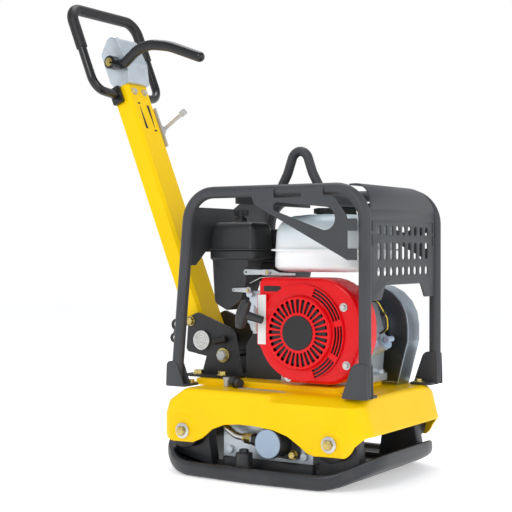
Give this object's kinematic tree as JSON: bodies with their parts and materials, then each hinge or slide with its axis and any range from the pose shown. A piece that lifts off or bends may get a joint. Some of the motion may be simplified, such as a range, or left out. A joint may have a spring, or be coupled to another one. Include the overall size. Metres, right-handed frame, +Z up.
{
  "type": "plate compactor",
  "caption": "Reversible vibratory plate compactor: cast base plate, belt-driven exciter, rubber-mounted bed, guard cage, petrol engine and a folding centre pole with a loop handle.",
  "frame": {"origin": "middle of the base plate's sole, on the ground", "axes": "+X forward, away from the operator; +Y to the operator's left; +Z up"},
  "size_m": [0.7939, 0.43, 1.0116],
  "materials": {
    "cast_black": "black paint over a sand-cast surface, scuffed at the rim",
    "yellow_paint": "smooth satin-gloss yellow paint",
    "black_powder_coat": "dark graphite powder coat, fine texture",
    "cast_alloy": "as-cast alloy, machined faces",
    "zinc_plate": "zinc plated",
    "machined_steel": "machined",
    "rubber": "matt black rubber",
    "engine_red": "gloss red paint",
    "tank_white": "milky white moulded plastic",
    "black_plastic": "moulded black plastic"
  },
  "bodies": {
    "machine": {"base_plate": "cast_black", "shift_cylinder": "cast_black", "engine_bed": "yellow_paint", "guard_hoop_right": "black_powder_coat", "guard_hoop_left": "black_powder_coat", "guard_panel_front": "black_powder_coat", "guard_panel_rear": "black_powder_coat", "guard_plate_right": "black_powder_coat", "guard_plate_left": "black_powder_coat", "lifting_eye": "black_powder_coat", "pole_bracket": "black_powder_coat", "muffler": "black_powder_coat", "exciter_housing": "cast_alloy", "exciter_cover_right": "cast_alloy", "exciter_cover_left": "cast_alloy", "crankcase": "cast_alloy", "cylinder_head": "cast_alloy", "carburettor": "cast_alloy", "mount_bolt_rear_right": "zinc_plate", "mount_bolt_rear_left": "zinc_plate", "mount_bolt_front_right": "zinc_plate", "mount_bolt_front_left": "zinc_plate", "shift_pipe": "zinc_plate", "pole_pivot_pin": "zinc_plate", "belt_guard": "zinc_plate", "rubber_mount_rear_right": "rubber", "rubber_mount_rear_left": "rubber", "rubber_mount_front_right": "rubber", "rubber_mount_front_left": "rubber", "shift_hose": "rubber", "throttle_cable": "rubber", "drive_belt": "rubber", "spark_plug_cap": "rubber", "fan_cover": "engine_red", "recoil_housing": "engine_red", "fuel_tank": "tank_white", "air_cleaner_base": "black_plastic", "air_cleaner_cover": "black_plastic"},
    "pole": {"centre_pole": "yellow_paint", "control_head": "cast_alloy", "handle_loop": "black_powder_coat", "handle_sleeve": "rubber", "throttle_bracket": "zinc_plate"},
    "shift_lever": {"shift_lever": "black_powder_coat"},
    "throttle_lever": {"throttle_lever": "zinc_plate"},
    "crank": {"crankshaft": "machined_steel", "flywheel_fan": "cast_alloy", "clutch_hub": "machined_steel"},
    "clutch_drum": {"clutch_drum": "machined_steel"},
    "drive_shaft": {"drive_shaft": "machined_steel", "exciter_pulley": "machined_steel"},
    "driven_shaft": {"driven_shaft": "machined_steel"},
    "recoil_reel": {"recoil_reel": "black_plastic"},
    "recoil_grip": {"recoil_grip": "black_plastic"},
    "fuel_cap": {"fuel_cap": "black_plastic"},
    "oil_cap": {"oil_cap": "black_plastic"},
    "air_cleaner_nut": {"air_cleaner_nut": "black_plastic"},
    "choke_lever": {"choke_lever": "zinc_plate"},
    "governor_lever": {"governor_lever": "zinc_plate"},
    "pole_latch": {"pole_latch": "black_powder_coat"}
  },
  "joints": [
    {"name": "pole_fold", "type": "hinge", "parent": "machine", "child": "pole", "pos_m": [-0.208, 0, 0.263], "axis": [0, 1, 0], "range_deg": [0, 22]},
    {"name": "shift_lever_turn", "type": "hinge", "parent": "pole", "child": "shift_lever", "pos_m": [-0.4638, -0.05, 0.88011], "axis": [0, 1, 0], "range_deg": [-25, 25]},
    {"name": "throttle_lever_turn", "type": "hinge", "parent": "pole", "child": "throttle_lever", "pos_m": [-0.3981, 0.051, 0.73085], "axis": [0, 1, 0], "range_deg": [-30, 55]},
    {"name": "crank_turn", "type": "hinge", "parent": "machine", "child": "crank", "pos_m": [0.0765, 0, 0.2933], "axis": [0, 1, 0], "continuous": true},
    {"name": "exciter_turn", "type": "hinge", "parent": "machine", "child": "drive_shaft", "pos_m": [-0.032, 0, 0.0773], "axis": [0, 1, 0], "continuous": true},
    {"name": "driven_turn", "type": "hinge", "parent": "machine", "child": "driven_shaft", "pos_m": [0.032, 0, 0.0773], "axis": [0, 1, 0], "continuous": true},
    {"name": "drum_turn", "type": "hinge", "parent": "machine", "child": "clutch_drum", "pos_m": [0.0765, 0, 0.2933], "axis": [0, 1, 0], "continuous": true},
    {"name": "reel_turn", "type": "hinge", "parent": "machine", "child": "recoil_reel", "pos_m": [0.0765, 0, 0.2933], "axis": [0, 1, 0], "range_deg": [0, 560], "stiffness_Nm_per_rad": 0.02, "springref_deg": -229.18},
    {"name": "grip_pull", "type": "slide", "parent": "machine", "child": "recoil_grip", "axis": [-0.86, -0.42, 0.29], "range_m": [0, 0.46]},
    {"name": "fuel_cap_turn", "type": "hinge", "parent": "machine", "child": "fuel_cap", "pos_m": [0.064, 0, 0.535], "axis": [0, 0, 1], "range_deg": [0, 90]},
    {"name": "oil_cap_turn", "type": "hinge", "parent": "machine", "child": "oil_cap", "pos_m": [0.1805, 0.024, 0.2673], "axis": [0.8521, -0.1504, 0.5013], "range_deg": [0, 720]},
    {"name": "air_nut_turn", "type": "hinge", "parent": "machine", "child": "air_cleaner_nut", "pos_m": [-0.103, -0.067, 0.53], "axis": [0, 0, 1], "range_deg": [0, 720]},
    {"name": "choke_turn", "type": "hinge", "parent": "machine", "child": "choke_lever", "pos_m": [-0.06, -0.1076, 0.374], "axis": [0, 1, 0], "range_deg": [-25, 25]},
    {"name": "governor_turn", "type": "hinge", "parent": "machine", "child": "governor_lever", "pos_m": [-0.0135, -0.108, 0.411], "axis": [0, 1, 0], "range_deg": [-12, 20]},
    {"name": "latch_turn", "type": "hinge", "parent": "machine", "child": "pole_latch", "pos_m": [-0.24, -0.045, 0.303], "axis": [0, 1, 0], "range_deg": [0, 30]}
  ],
  "couplings": [
    {"joint": "drum_turn", "follows": "exciter_turn", "ratio": 1.1842},
    {"joint": "driven_turn", "follows": "exciter_turn", "ratio": -1},
    {"joint": "grip_pull", "follows": "reel_turn", "m_per_rad": 0.046}
  ]
}
